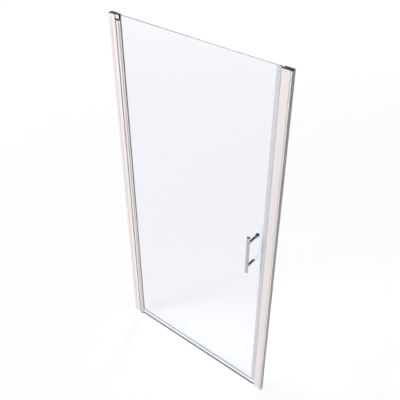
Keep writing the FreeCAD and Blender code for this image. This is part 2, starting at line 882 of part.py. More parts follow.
holder_low = door_plane - s.holder_width / 2
holder_high = door_plane + s.holder_width / 2
holder_tip = strike_face_end + s.holder_depth
cap_end = strike_face_end + s.cap_overhang
profile_cap(
    "strike_profile_cap",
    -1,
    [
        (s.cap_inset, s.cap_inset),
        (cap_end, s.cap_inset, s.cap_round),
        (cap_end, s.profile_depth, s.cap_round),
        (s.cap_inset, s.profile_depth),
    ],
)

# Screws lock each frame profile in its wall channel, and a cover snaps over each head.
lock_screw_x = s.lock_screw_inset - half_width
lock_runs = [("Z_Axis", lock_pitch, LOCK_SCREWS), ("X_Axis", lock_screw_x * -2, 2)]
lock_screws = back_screw(
    "lock_screws",
    lock_screw_x,
    lock_heights[0],
    s.lock_shank_radius,
    s.lock_shank_length,
    s.lock_head_radius,
    s.lock_head_height,
)
repeat(lock_screws, *lock_runs)
cover_inside = s.cover_radius - s.cover_wall
covers = turned(
    "screw_covers",
    "XY_Plane",
    [
        (cover_inside, 0),
        (s.cover_radius, 0),
        (s.cover_radius, s.cover_height),
        (0, s.cover_height),
        (0, s.cover_height - s.cover_wall),
        (cover_inside, s.cover_height - s.cover_wall),
    ],
    lock_screw_x,
    s.profile_depth,
    lock_heights[0],
)
repeat(covers, *lock_runs)

# The magnet holder is a soft profile clipped through the slot in the frame profile.
holder = new_body("strike_magnet_holder", half_width)
barb_low = door_plane - s.holder_barb / 2
barb_high = door_plane + s.holder_barb / 2
magnet_low = door_plane - s.magnet_width / 2
magnet_high = door_plane + s.magnet_width / 2
corners = [
    (strike_face_end, holder_low),
    (holder_tip, holder_low, s.edge_round),
    (holder_tip, holder_high, s.edge_round),
    (strike_face_end, holder_high),
    (strike_face_end, door_plane + neck_half),
    (strike_inner, door_plane + neck_half),
    (strike_inner, barb_high),
    (strike_inner - s.barb_thickness, barb_high - s.barb_thickness),
    (strike_inner - s.barb_thickness, barb_low + s.barb_thickness),
    (strike_inner, barb_low),
    (strike_inner, door_plane - neck_half),
    (strike_face_end, door_plane - neck_half),
]
section = new_sketch(holder, "XY_Plane")
outline(section, [(c[0] * -1,) + c[1:] for c in corners])
magnet_far = holder_tip - s.holder_face
rectangle(section, -magnet_far, magnet_low, s.magnet_thickness - magnet_far, magnet_high)
holder_length = s.profile_height - s.holder_drop
pad(holder, section, holder_length)

strip = new_body("strike_magnet_strip", half_width)
section = new_sketch(strip, "XY_Plane")
rectangle(section, -magnet_far, magnet_low, s.magnet_thickness - magnet_far, magnet_high)
pad(strip, section, holder_length)

# The post: a round extrusion with a nose that holds the glass and a bore in each end.
post = new_body("pivot_post", pivot_x, door_plane, s.post_bottom)
section = new_sketch(post, "XY_Plane")
circle(section, ZERO, ZERO, s.post_radius)
post_length = post_top - s.post_bottom
pad(post, section, post_length)
nose_half = s.nose_thickness / 2
nose_outline = [
    (ZERO, -nose_half),
    (s.nose_reach, -nose_half, s.edge_round),
    (s.nose_reach, nose_half, s.edge_round),
    (ZERO, nose_half),
]
nose = new_sketch(post, "XY_Plane")
outline(nose, nose_outline)
pad(post, nose, post_length)
slot = new_sketch(post, "XY_Plane")
slot_half = s.post_slot_width / 2
rectangle(slot, -s.post_slot_inset, -slot_half, s.nose_reach + s.cut_past, slot_half)
pocket(post, slot, post_length, along_normal=True)
bore = new_sketch(post, "XY_Plane")
circle(bore, ZERO, ZERO, s.post_bore_radius)
pocket(post, bore, s.bottom_bore_depth, along_normal=True)
bore = new_sketch(post, "XY_Plane", post_length)
circle(bore, ZERO, ZERO, s.post_bore_radius)
pocket(post, bore, s.top_bore_depth)
grub_heights = [s.grub_height, post_top - s.grub_drop]
grub_holes = new_sketch(post, "XZ_Plane")
for height in grub_heights:
    circle(grub_holes, ZERO, height - s.post_bottom, s.grub_radius + s.block_bore_gap)
pocket(post, grub_holes, s.post_radius + s.cut_past)

grubs = turned(
    "post_grub_screws",
    "XY_Plane",
    [
        (0, s.post_bore_radius),
        (s.grub_radius, s.post_bore_radius),
        (s.grub_radius, s.post_radius - s.grub_recess),
        (0, s.post_radius - s.grub_recess),
    ],
    pivot_x,
    door_plane,
    s.grub_height,
)
repeat(grubs, ("Z_Axis", grub_heights[1] - grub_heights[0], 2))

# The top insert slides on the hexagon of the captive pin as the door lifts.
top_insert = new_body("post_top_insert", pivot_x, door_plane, post_top)
flange = new_sketch(top_insert, "XY_Plane")
circle(flange, ZERO, ZERO, s.post_radius)
pad(top_insert, flange, s.insert_flange)
nose = new_sketch(top_insert, "XY_Plane")
outline(nose, nose_outline)
pad(top_insert, nose, s.insert_flange)
stem = new_sketch(top_insert, "XY_Plane")
circle(stem, ZERO, ZERO, insert_radius)
pad(top_insert, stem, s.top_bore_depth - s.insert_gap, downward=True)
hex_hole = new_sketch(top_insert, "XY_Plane", s.insert_flange)
hexagon(hex_hole, s.hex_across + s.running_gap * 2)
pocket(top_insert, hex_hole, s.top_bore_depth + s.insert_flange)

# Glass: one pane with stepped corners that clear the pivots, and two handle holes.
pane = new_body("glass_panel", ZERO, glass_back)
shape = new_sketch(pane, "XZ_Plane")
glass_left = pivot_x - s.glass_inset
glass_step = pivot_x + s.post_bore_radius + s.glass_step_gap
glass_notch = pivot_x + s.glass_notch_radius
low_step = s.post_bottom + s.bottom_bore_depth + s.glass_step_clearance
high_step = post_top - s.top_bore_depth - s.glass_step_clearance
outline(
    shape,
    [
        (glass_step, s.glass_bottom),
        (glass_edge_x, s.glass_bottom),
        (glass_edge_x, glass_top),
        (glass_notch, glass_top),
        (glass_notch, post_top - s.glass_step_clearance),
        (glass_step, post_top - s.glass_step_clearance),
        (glass_step, high_step),
        (glass_left, high_step),
        (glass_left, low_step),
        (glass_step, low_step),
    ],
)
stem_heights = [s.handle_height + s.handle_pitch * (i - 0.5) for i in range(HANDLE_STEMS)]
for height in stem_heights:
    circle(shape, handle_x, height, s.glass_hole_radius)
pad(pane, shape, s.glass_thickness)
bevel(pane, s.glass_arris, lambda edge, box: edge.YLength < 1e-6)

gasket = new_body("glass_gasket", pivot_x, door_plane, low_step)
section = new_sketch(gasket, "XY_Plane")
glass_half = s.glass_thickness / 2
gasket_right = s.nose_reach - s.edge_round
outline(
    section,
    [
        (-s.post_slot_inset, -slot_half),
        (gasket_right, -slot_half),
        (gasket_right, -glass_half),
        (-s.glass_inset, -glass_half),
        (-s.glass_inset, glass_half),
        (gasket_right, glass_half),
        (gasket_right, slot_half),
        (-s.post_slot_inset, slot_half),
    ],
)
pad(gasket, section, high_step - low_step)

# Door seal: legs that grip the glass, a hollow tube and the magnet chamber.
closing_seal = new_body("door_magnet_seal", ZERO, ZERO, s.seal_top + s.seal_stack_gap)
section = new_sketch(closing_seal, "XY_Plane")
leg_start = glass_edge_x - s.seal_leg
tube_start = glass_edge_x + s.seal_web
tube_low = door_plane - s.tube_depth / 2
tube_high = door_plane + s.tube_depth / 2
outline(
    section,
    [
        (leg_start, glass_front - s.seal_sheet),
        (tube_start, glass_front - s.seal_sheet),
        (tube_start, tube_low),
        (seal_end_x, tube_low, s.edge_round),
        (seal_end_x, tube_high, s.edge_round),
        (tube_start, tube_high),
        (tube_start, glass_back + s.seal_sheet),
        (leg_start, glass_back + s.seal_sheet),
        (leg_start, glass_back),
        (glass_edge_x, glass_back),
        (glass_edge_x, glass_front),
        (leg_start, glass_front),
    ],
)
magnet_end = seal_end_x - s.seal_sheet
magnet_start = magnet_end - s.magnet_thickness
rectangle(section, magnet_start, magnet_low, magnet_end, magnet_high)
rectangle(
    section,
    tube_start + s.seal_sheet,
    tube_low + s.seal_sheet,
    magnet_start - s.seal_sheet,
    tube_high - s.seal_sheet,
)
closing_length = glass_top - s.seal_top - s.seal_stack_gap
pad(closing_seal, section, closing_length)

strip = new_body("door_magnet_strip", ZERO, ZERO, s.seal_top + s.seal_stack_gap)
section = new_sketch(strip, "XY_Plane")
rectangle(section, magnet_start, magnet_low, magnet_end, magnet_high)
pad(strip, section, closing_length)

# Bottom seal: a channel on the glass edge with a drip fin on the inner side, and a
# wiper lip that hangs to the tray under its front leg.
seal_start_x = pivot_x + s.nose_reach + s.seal_post_gap
bottom_seal = new_body("bottom_seal", seal_start_x)
section = new_sketch(bottom_seal, "YZ_Plane")
seal_front = glass_front - s.seal_leg_sheet
seal_back = glass_back + s.seal_leg_sheet
base_z = s.glass_bottom - s.seal_base
outline(
    section,
    [
        (seal_front, base_z),
        (seal_back - s.drip_sheet, base_z),
        (seal_back + s.drip_reach - s.drip_sheet, base_z - s.drip_drop),
        (seal_back + s.drip_reach, base_z - s.drip_drop),
        (seal_back, base_z + s.drip_sheet),
        (seal_back, s.seal_top),
        (glass_back, s.seal_top),
        (glass_back, s.glass_bottom),
        (glass_front, s.glass_bottom),
        (glass_front, s.seal_top),
        (seal_front, s.seal_top),
    ],
)
bottom_length = seal_end_x - seal_start_x
pad(bottom_seal, section, bottom_length)

wiper = new_body("bottom_wiper_lip", seal_start_x)
section = new_sketch(wiper, "YZ_Plane")
outline(
    section,
    [
        (seal_front, s.wiper_bottom),
        (seal_front + s.wiper_tip, s.wiper_bottom),
        (seal_front + s.wiper_thickness, base_z),
        (seal_front, base_z),
    ],
)
pad(wiper, section, bottom_length)

# Handle: an upright bar on two stems outside, a flared knob and a button inside.
bar_axis = glass_front - s.bar_stand_off
bar_half = s.bar_length / 2
turned(
    "handle_bar",
    "XZ_Plane",
    [
        (0, -bar_half),
        (s.bar_radius - s.bar_bevel, -bar_half),
        (s.bar_radius, s.bar_bevel - bar_half),
        (s.bar_radius, bar_half - s.bar_bevel),
        (s.bar_radius - s.bar_bevel, bar_half),
        (0, bar_half),
    ],
    handle_x,
    bar_axis,
    s.handle_height,
)

stem_back = glass_front - s.washer_thickness
thread_radius = s.stud_radius + s.stud_gap
for name, height in zip(("lower_handle_stem", "upper_handle_stem"), stem_heights):
    stem = turned(
        name,
        "XY_Plane",
        [
            (0, bar_axis),
            (s.stem_radius, bar_axis),
            (s.stem_radius, stem_back),
            (thread_radius, stem_back),
            (thread_radius, stem_back - s.stem_thread_depth),
            (0, stem_back - s.stem_thread_depth),
        ],
        handle_x,
        ZERO,
        height,
    )
    saddle = new_sketch(stem, "XY_Plane", -s.bar_radius * 2)
    circle(saddle, ZERO, bar_axis, s.bar_radius)
    pocket(stem, saddle, s.bar_radius * 4, along_normal=True)


def ring_pair(name, inner, outer, near, far):
    item = turned(
        name,
        "XY_Plane",
        [(inner, near), (outer, near), (outer, far), (inner, far)],
        handle_x,
        ZERO,
        stem_heights[0],
    )
    repeat(item, ("Z_Axis", s.handle_pitch, HANDLE_STEMS))


washer_bore = s.stud_radius + s.washer_bore_gap
ring_pair("outer_handle_washers", washer_bore, s.washer_radius, stem_back, glass_front)
ring_pair("handle_hole_sleeves", washer_bore, s.glass_hole_radius - s.sleeve_gap, glass_front, glass_back)
inner_face = glass_back + s.washer_thickness
ring_pair("inner_handle_washers", washer_bore, s.washer_radius, glass_back, inner_face)

stud_start = stem_back - s.stem_thread_depth + s.thread_runout
turned(
    "knob_stud",
    "XY_Plane",
    [
        (0, stud_start),
        (s.stud_radius, stud_start),
        (s.stud_radius, inner_face + s.stud_inner_length),
        (0, inner_face + s.stud_inner_length),
    ],
    handle_x,
    ZERO,
    stem_heights[1],
)
turned(
    "handle_screw",
    "XY_Plane",
    [
        (0, stud_start),
        (s.stud_radius, stud_start),
        (s.stud_radius, inner_face),
        (s.screw_head_radius, inner_face),
        (s.screw_head_radius, inner_face + s.screw_head_height),
        (0, inner_face + s.screw_head_height),
    ],
    handle_x,
    ZERO,
    stem_heights[0],
)
turned(
    "inner_knob",
    "XY_Plane",
    [
        (thread_radius, inner_face),
        (s.knob_neck_radius, inner_face),
        (s.knob_neck_radius, inner_face + s.knob_neck),
        (s.knob_radius, inner_face + s.knob_length - s.knob_bevel),
        (s.knob_radius - s.knob_bevel, inner_face + s.knob_length),
        (0, inner_face + s.knob_length),
        (0, inner_face + s.stud_inner_length + s.thread_runout),
        (thread_radius, inner_face + s.stud_inner_length + s.thread_runout),
    ],
    handle_x,
    ZERO,
    stem_heights[1],
)
button_inside = inner_face + s.screw_head_height + s.button_gap
button_end = button_inside + s.button_wall
turned(
    "inner_screw_button",
    "XY_Plane",
    [
        (s.button_radius - s.button_wall, inner_face),
        (s.button_radius, inner_face),
        (s.button_radius, button_end - s.button_bevel),
        (s.button_radius - s.button_bevel, button_end),
        (0, button_end),
        (0, button_inside),
        (s.button_radius - s.button_wall, button_inside),
    ],
    handle_x,
    ZERO,
    stem_heights[0],
)

doc.recompute()
for item in doc.Objects:
    if "Invalid" in item.State or "Error" in item.State:
        raise RuntimeError(f"{item.Label} did not compute")
for item in pieces:
    if item.Shape.isNull() or not item.Shape.isValid():
        raise RuntimeError(f"{item.Label} has no sound shape")
os.makedirs("parts", exist_ok=True)
for item in pieces:
    item.Shape.exportStep(f"parts/{item.Label}.step")
    print(item.Label, len(item.Shape.Solids), round(item.Shape.Volume))
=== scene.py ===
import json
import math
import bmesh
import bpy
from mathutils import Matrix, Vector


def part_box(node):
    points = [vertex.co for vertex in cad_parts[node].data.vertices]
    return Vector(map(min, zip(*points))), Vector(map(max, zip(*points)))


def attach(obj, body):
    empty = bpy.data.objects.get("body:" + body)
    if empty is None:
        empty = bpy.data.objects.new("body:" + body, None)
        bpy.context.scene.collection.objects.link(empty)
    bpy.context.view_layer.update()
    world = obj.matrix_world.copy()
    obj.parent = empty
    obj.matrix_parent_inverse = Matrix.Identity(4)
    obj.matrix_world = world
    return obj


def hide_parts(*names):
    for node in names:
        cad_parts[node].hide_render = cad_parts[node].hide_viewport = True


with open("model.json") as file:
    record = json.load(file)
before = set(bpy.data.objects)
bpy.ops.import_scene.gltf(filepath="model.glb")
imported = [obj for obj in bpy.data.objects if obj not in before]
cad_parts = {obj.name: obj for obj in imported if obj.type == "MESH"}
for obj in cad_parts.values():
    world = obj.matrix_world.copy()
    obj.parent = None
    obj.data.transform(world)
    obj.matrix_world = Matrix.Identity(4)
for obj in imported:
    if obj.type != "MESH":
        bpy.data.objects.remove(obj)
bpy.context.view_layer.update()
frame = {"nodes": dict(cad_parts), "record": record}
nodes = frame["nodes"]
print("frame loaded:", len(nodes), "pieces")

mm = 0.001


def toLinear(hexColour):
    # an sRGB hex colour as linear RGBA
    channels = [int(hexColour[i:i + 2], 16) / 255 for i in (1, 3, 5)]
    return [c / 12.92 if c <= 0.04045 else ((c + 0.055) / 1.055) ** 2.4 for c in channels] + [1.0]


def addNode(tree, kind, inputs=None, **settings):
    # one node with its settings; an input is a plain value or another node's output
    node = tree.nodes.new(kind)
    for name, value in settings.items():
        setattr(node, name, value)
    for name, value in (inputs or {}).items():
        if isinstance(value, bpy.types.NodeSocket):
            tree.links.new(value, node.inputs[name])
        else:
            node.inputs[name].default_value = value
    return node


def newTree(name):
    material = bpy.data.materials.new(name)
    material.use_nodes = True
    material.node_tree.nodes.clear()
    return material, material.node_tree


def show(tree, shader):
    addNode(tree, "ShaderNodeOutputMaterial", {"Surface": shader.outputs[0]})


def grainOf(tree, size, detail=3.0):
    # noise whose cells are size mm across on each axis of the piece
    point = addNode(tree, "ShaderNodeTexCoord").outputs["Object"]
    scaled = addNode(tree, "ShaderNodeMapping", {"Vector": point, "Scale": [1000 / s for s in size]})
    noise = addNode(tree, "ShaderNodeTexNoise", {"Vector": scaled.outputs[0], "Scale": 1.0, "Detail": detail})
    return noise.outputs["Fac"]


def between(tree, value, low, high):
    # noise stays near its middle, so the middle part is stretched to low to high
    return addNode(tree, "ShaderNodeMapRange", {
        "Value": value, "From Min": 0.3, "From Max": 0.7, "To Min": low, "To Max": high,
    }).outputs["Result"]


def bumpOf(tree, height, strength, depth):
    return addNode(tree, "ShaderNodeBump", {
        "Height": height, "Strength": strength, "Distance": depth * mm,
    }).outputs["Normal"]


def blendOf(tree, factor, first, second):
    return addNode(tree, "ShaderNodeMix", {
        "Factor": factor, "A": toLinear(first), "B": toLinear(second),
    }, data_type="RGBA").outputs["Result"]


def passLamps(tree, shader, tint):
    # clear things let the lamps through, so that what lies behind isn't blacked out
    path = addNode(tree, "ShaderNodeLightPath")
    gap = addNode(tree, "ShaderNodeBsdfTransparent", {"Color": toLinear(tint)})
    return addNode(tree, "ShaderNodeMixShader", {
        0: path.outputs["Is Shadow Ray"], 1: shader.outputs[0], 2: gap.outputs[0],
    })


aluminium = dict(
    colour="#F1EBEB",
    shade="#EAE3E3",
    metallic=0.07,        # the matt oxide layer scatters most of the light
    rough=(0.3, 0.36),
    dieLine=3.0,          # mm between the faint die lines, drawn coarser than the real ones of under 1 mm
    lineLength=700,       # mm
    lineDepth=0.005,      # mm
)


def anodisedAluminium():
    # Aluminium, extruded and matt anodised: a soft silver shine, broken a little by lines up its length.
    material, tree = newTree("anodisedAluminiumExtruded")
    a = aluminium
    lines = grainOf(tree, (a["dieLine"], a["dieLine"], a["lineLength"]))
    clouds = grainOf(tree, (120, 120, 400), 2.0)
    show(tree, addNode(tree, "ShaderNodeBsdfPrincipled", {
        "Base Color": blendOf(tree, clouds, a["colour"], a["shade"]),
        "Metallic": a["metallic"],
        "Roughness": between(tree, lines, *a["rough"]),
        "Normal": bumpOf(tree, lines, 0.2, a["lineDepth"]),
    }))
    return material


def metal(name, colour, rough, grain, depth):
    # A bare metal: even grain in the roughness, by how it was cast, ground or turned.
    material, tree = newTree(name)
    noise = grainOf(tree, grain)
    show(tree, addNode(tree, "ShaderNodeBsdfPrincipled", {
        "Base Color": toLinear(colour),
        "Metallic": 1.0,
        "Roughness": between(tree, noise, *rough),
        "Normal": bumpOf(tree, noise, 0.2, depth),
    }))
    return material


def plastic(name, colour, worn, rough, grain, depth, gloss=0.5):
    # A moulded polymer: fine spark grain from the tool, and a faint change of tone.
    material, tree = newTree(name)
    noise = grainOf(tree, (grain, grain, grain), 5.0)
    clouds = grainOf(tree, (25, 25, 25), 2.0)
    show(tree, addNode(tree, "ShaderNodeBsdfPrincipled", {
        "Base Color": blendOf(tree, clouds, colour, worn),
        "Roughness": between(tree, noise, *rough),
        "IOR": 1.5,
        "Specular IOR Level": gloss,
        "Normal": bumpOf(tree, noise, 0.3, depth),
    }))
    return material


softPvc = dict(ior=1.53, bump=0.2, lineDepth=0.03)     # depth in mm


def softClear(name, colour, worn, clearness, rough, line):
    # Soft PVC, extruded: half clear, with faint flow lines along its length.
    material, tree = newTree(name)
    lines = grainOf(tree, line)
    shader = addNode(tree, "ShaderNodeBsdfPrincipled", {
        "Base Color": blendOf(tree, lines, colour, worn),
        "Roughness": between(tree, lines, *rough),
        "IOR": softPvc["ior"],
        "Transmission Weight": clearness,
        "Normal": bumpOf(tree, lines, softPvc["bump"], softPvc["lineDepth"]),
    })
    show(tree, passLamps(tree, shader, colour))
    return material


bottomSeal = dict(
    body="#EDEEF0",
    # painted shade: a grey line along the top edge of the seal's leg
    paintedEdgeShade="#A6A8AC",
    # painted shade: near black along the foot of the seal, under the door
    paintedFootShade="#1B1B1C",
    paintedEdgeShadeStart=36.5,             # mm up from the tray
    paintedFootShadeTop=13.0,              # mm up from the tray
    clearness=0.12,
    rough=(0.26, 0.38),
    line=(180, 1.8, 1.8),      # mm, long across the door
)


def bottomSealPvc():
    # Soft PVC, extruded and pale, with painted shade in two bands by height: a grey line
    # along the top edge of the leg, and near black along its foot under the door.
    material, tree = newTree("softPvcBottomSeal")
    s = bottomSeal
    point = addNode(tree, "ShaderNodeTexCoord").outputs["Object"]
    height = addNode(tree, "ShaderNodeSeparateXYZ", {0: point}).outputs["Z"]
    # painted shade: 1 above the height where the grey edge line starts
    paintedEdgeShade = addNode(tree, "ShaderNodeMath", {
        0: height, 1: s["paintedEdgeShadeStart"] * mm,
    }, operation="GREATER_THAN").outputs[0]
    # painted shade: 1 below the height where the dark foot band ends
    paintedFootShade = addNode(tree, "ShaderNodeMath", {
        0: height, 1: s["paintedFootShadeTop"] * mm,
    }, operation="LESS_THAN").outputs[0]
    lines = grainOf(tree, s["line"])
    shade = addNode(tree, "ShaderNodeMix", {
        "Factor": paintedFootShade, "A": blendOf(tree, paintedEdgeShade, s["body"], s["paintedEdgeShade"]), "B": toLinear(s["paintedFootShade"]),
    }, data_type="RGBA").outputs["Result"]
    show(tree, passLamps(tree, addNode(tree, "ShaderNodeBsdfPrincipled", {
        "Base Color": shade,
        "Roughness": between(tree, lines, *s["rough"]),
        "IOR": softPvc["ior"],
        "Transmission Weight": s["clearness"],
        "Normal": bumpOf(tree, lines, softPvc["bump"], softPvc["lineDepth"]),
    }), s["body"]))
    return material


glass = dict(
    face="#F3F4F9",
    edge="#B2BEB8",
    faceRough=0.0,
    edgeRough=0.35,
    faceLimit=0.9,             # below this share of its normal along Y, a surface is an edge
    ior=1.52,
    shadowTint="#EEF1F2",
)


def toughenedGlass():
    # Toughened float glass: clear faces, and ground edges that show its grey green body.
    material, tree = newTree("toughenedGlassGroundEdge")
    normal = addNode(tree, "ShaderNodeTexCoord").outputs["Normal"]
    facing = addNode(tree, "ShaderNodeSeparateXYZ", {0: normal}).outputs["Y"]
    upright = addNode(tree, "ShaderNodeMath", {0: facing}, operation="ABSOLUTE").outputs[0]
    edge = addNode(tree, "ShaderNodeMath", {
        0: upright, 1: glass["faceLimit"],
    }, operation="LESS_THAN").outputs[0]
    rough = addNode(tree, "ShaderNodeMapRange", {
        "Value": edge, "To Min": glass["faceRough"], "To Max": glass["edgeRough"],
    })
    shader = addNode(tree, "ShaderNodeBsdfPrincipled", {
        "Base Color": blendOf(tree, edge, glass["face"], glass["edge"]),
        "Roughness": rough.outputs["Result"],
        "IOR": glass["ior"],
        "Transmission Weight": 1.0,
    })
    show(tree, passLamps(tree, shader, glass["shadowTint"]))
    return material


chrome = dict(colour="#B9BBBE", rough=(0.05, 0.09), swirl=6)     # swirl in mm


def polishedChrome():
    # Chromium plate on polished brass: a mirror with a cool tone and only the finest swirl.
    material, tree = newTree("chromePlatePolished")
    swirl = grainOf(tree, (chrome["swirl"],) * 3, 2.0)
    show(tree, addNode(tree, "ShaderNodeBsdfPrincipled", {
        "Base Color": toLinear(chrome["colour"]),
        "Metallic": 1.0,
        "Roughness": between(tree, swirl, *chrome["rough"]),
    }))
    return material


finishes = {
    "profile_aluminium": anodisedAluminium(),
    "cast_metal": metal("zincDieCastPolished", "#E4E1DE", (0.16, 0.24), (3, 3, 3), 0.01),
    "black_plastic": plastic("absBlackMoulded", "#0B0B0C", "#121213", (0.14, 0.22), 0.8, 0.01, gloss=0.25),
    "dark_polymer": plastic("nylonGlassFilledMoulded", "#2A2A2B", "#343435", (0.42, 0.58), 1.0, 0.03),
    "grey_plastic": plastic("absGreyMoulded", "#BDBEBF", "#B2B3B5", (0.28, 0.4), 0.8, 0.02),
    "bearing_polymer": plastic("acetalBlackTurned", "#171717", "#1F1F20", (0.28, 0.4), 0.9, 0.02, gloss=0.35),
    "steel_fasteners": metal("stainlessSteelTurned", "#C9C7C3", (0.22, 0.38), (1.2, 0.3, 1.2), 0.02),
    "steel_pins": metal("stainlessSteelGround", "#CFCDC9", (0.14, 0.24), (1.5, 1.5, 0.4), 0.01),
    "clear_glass": toughenedGlass(),
    "clear_rubber": softClear("softPvcClearGasket", "#CFD1D2", "#C4C6C7", 0.5, (0.3, 0.42), (1.5, 1.5, 120)),
    "clear_seal": softClear("softPvcClearSeal", "#DADADE", "#D2D3D7", 0.1, (0.24, 0.36), (1.8, 1.8, 180)),
    "grey_seal": softClear("softPvcGreyHolder", "#D6D6D9", "#CECFD1", 0.06, (0.26, 0.38), (1.8, 1.8, 180)),
    "dark_lip": plastic("softPvcDarkLip", "#141414", "#1B1B1C", (0.45, 0.6), 1.4, 0.03, gloss=0.25),
    "magnet_rubber": plastic("ferriteRubberExtruded", "#4A4441", "#554E4A", (0.5, 0.65), 1.2, 0.03),
    "chrome_handle": polishedChrome(),
}
slotOf = {part["node"]: part["material_slot"] for part in frame["record"]["subparts"]}
for name, piece in nodes.items():
    piece.data.materials.clear()
    piece.data.materials.append(finishes[slotOf[name]])
nodes["bottom_seal"].data.materials[0] = bottomSealPvc()
print("materials:", len(finishes) + 1)


upToBack = Matrix.Rotation(-math.pi / 2, 4, "X")     # turns +Z to +Y, into the shower
rimAngle = math.radians(35)                          # past this a rim gets rounded
sharpAngle = math.radians(32)                        # past this an edge is shaded sharp


def spin(outline, steps=48):
    # a full turn about Z of a line of (radius, height) points in mm
    bm = bmesh.new()
    corners = [bm.verts.new((radius * mm, 0, height * mm)) for radius, height in outline]
    line = [bm.edges.new(pair) for pair in zip(corners, corners[1:])]
    bmesh.ops.spin(
        bm, geom=corners + line, cent=(0, 0, 0), axis=(0, 0, 1),
        angle=2 * math.pi, steps=steps, use_merge=True,
    )
    bmesh.ops.remove_doubles(bm, verts=bm.verts, dist=1e-7)
    bmesh.ops.recalc_face_normals(bm, faces=bm.faces)
    return bm


def meetsPast(edge, angle):
    return len(edge.link_faces) == 2 and edge.calc_face_angle() > angle


def roundRims(bm, radius, segments, above=None):
    # rounds the rims where two faces meet sharply, or only those above a height in mm
    rims = [
        e for e in bm.edges
        if meetsPast(e, rimAngle) and (above is None or min(v.co.z for v in e.verts) > above * mm)
    ]
    bmesh.ops.bevel(
        bm, geom=rims, offset=radius * mm, offset_type="OFFSET", segments=segments, profile=0.5,
        affect="EDGES", material=-1, clamp_overlap=True,
    )


def layInPlace(bm, low, high):
    # lays a turned piece along Y, about the middle of its box
    centre = (low + high) / 2
    place = Matrix.Translation((centre.x, 0, centre.z))
    bmesh.ops.transform(bm, matrix=place @ upToBack, verts=bm.verts)


def finishPiece(bm, name, body, slot, *replaced):
    # makes the object, smooth but for its sharp edges, and ties it to its body
    bmesh.ops.recalc_face_normals(bm, faces=bm.faces)
    for face in bm.faces:
        face.smooth = True
    for edge in bm.edges:
        edge.smooth = not meetsPast(edge, sharpAngle)
    mesh = bpy.data.meshes.new(name)
    bm.to_mesh(mesh)
    bm.free()
    mesh.materials.append(finishes[slot])
    piece = bpy.data.objects.new(name, mesh)
    bpy.context.scene.collection.objects.link(piece)
    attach(piece, body)
    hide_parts(*replaced)
    return piece


def copiesAt(bm, places):
    # the same piece at each place
    pattern = bpy.data.meshes.new("pattern")
    bm.to_mesh(pattern)
    bm.free()
    row = bmesh.new()
    for place in places:
        before = len(row.verts)
        row.from_mesh(pattern)
        row.verts.ensure_lookup_table()
        bmesh.ops.translate(row, vec=place, verts=row.verts[before:])
    bpy.data.meshes.remove(pattern)
    return row


handle = dict(                # lengths in mm
    barRadius=8.0,
    rimRound=1.6,
    knobNeck=7.5,
    neckLength=1.0,
    knobEnd=13.0,
    knobRound=2.2,
    buttonRadius=6.5,
    buttonRound=1.4,
    endBand=0.1,              # how near its end a rim has to lie to be rounded
    steps=64,                 # round the bar and the knob
)


def handleBar():
    low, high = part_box("handle_bar")
    half = (high.z - low.z) / 2 / mm
    radius = handle["barRadius"]
    bm = spin([(0, -half), (radius, -half), (radius, half), (0, half)], handle["steps"])
    roundRims(bm, handle["rimRound"], 5)
    bmesh.ops.translate(bm, vec=(low + high) / 2, verts=bm.verts)
    finishPiece(bm, "handleBar", "door", "chrome_handle", "handle_bar")


def knob():
    # flares from the neck at the glass to its end
    low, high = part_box("inner_knob")
    start, end = low.y / mm, high.y / mm
    neck, neckEnd = handle["knobNeck"], start + handle["neckLength"]
    outline = [(0, start), (neck, start), (neck, neckEnd), (handle["knobEnd"], end), (0, end)]
    bm = spin(outline, handle["steps"])
    roundRims(bm, handle["knobRound"], 6, above=end - handle["endBand"])
    layInPlace(bm, low, high)
    finishPiece(bm, "innerKnob", "door", "chrome_handle", "inner_knob")


def button():
    # the clear cover over the lower handle screw
    low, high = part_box("inner_screw_button")
    start, end = low.y / mm, high.y / mm
    radius = handle["buttonRadius"]
    bm = spin([(0, start), (radius, start), (radius, end), (0, end)])
    roundRims(bm, handle["buttonRound"], 5, above=end - handle["endBand"])
    layInPlace(bm, low, high)
    finishPiece(bm, "innerScrewButton", "door", "clear_rubber", "inner_screw_button")


handleBar()
knob()
button()
print("handle: bar, knob and button")


def socket(bm, top, reach, shape, depth):
    # closes the open ring at the top of a head with a driven recess of that shape
    ring = [e for e in bm.edges if len(e.link_faces) == 1]
    for step, drop in enumerate((0.0, depth)):
        grown = bmesh.ops.extrude_edge_only(bm, edges=ring)["geom"]
        ring = [g for g in grown if isinstance(g, bmesh.types.BMEdge)]
        for corner in {v for e in ring for v in e.verts}:
            if step == 0:
                turn = math.atan2(corner.co.y, corner.co.x)
                corner.co.xy = Vector((math.cos(turn), math.sin(turn))) * shape(turn) * reach * mm
            else:
                corner.co.xy *= screws["recessTaper"]
            corner.co.z = (top - drop) * mm
    bmesh.ops.contextual_create(bm, geom=ring)


def cross(turn):
    # four arms, each a wide notch of the ring
    return 1.0 if math.cos(4 * turn) > screws["crossArm"] else screws["crossWaist"]


def hexagon(turn):
    return math.cos(math.pi / 6) / math.cos((turn % (math.pi / 3)) - math.pi / 6)


screws = dict(                # lengths in mm, the rest shares
    lock=dict(shank=1.95, length=8.5, head=3.6, height=1.8),
    block=dict(shank=2.5, length=12, head=4.2, height=2.0, pitch=14),
    grub=dict(radius=2.0, edge=0.2, socket=1.2, depth=1.6),
    handle=dict(shank=3.0, head=4.2, height=1.8, edge=0.3, socket=2.0, depth=1.2),
    cover=dict(radius=5.2, height=3.2, wall=1.0, shoulder=0.4, steps=40),
    tipRadius=0.4,            # of the shank's radius
    tipStart=0.8,             # of the shank's length
    headEdge=0.45,            # of the head's height, which stands straight
    crown=((0.95, 0.6), (0.8, 0.9)),     # radius and height of the domed part of a pan head
    recess=0.62,              # of the head's radius
    recessReach=0.94,         # of the recess's rim
    recessDepth=0.7,          # of the head's height
    recessTaper=0.72,
    crossArm=0.4,
    crossWaist=0.42,
    socketRim=1.2,            # of the hexagon's radius
)


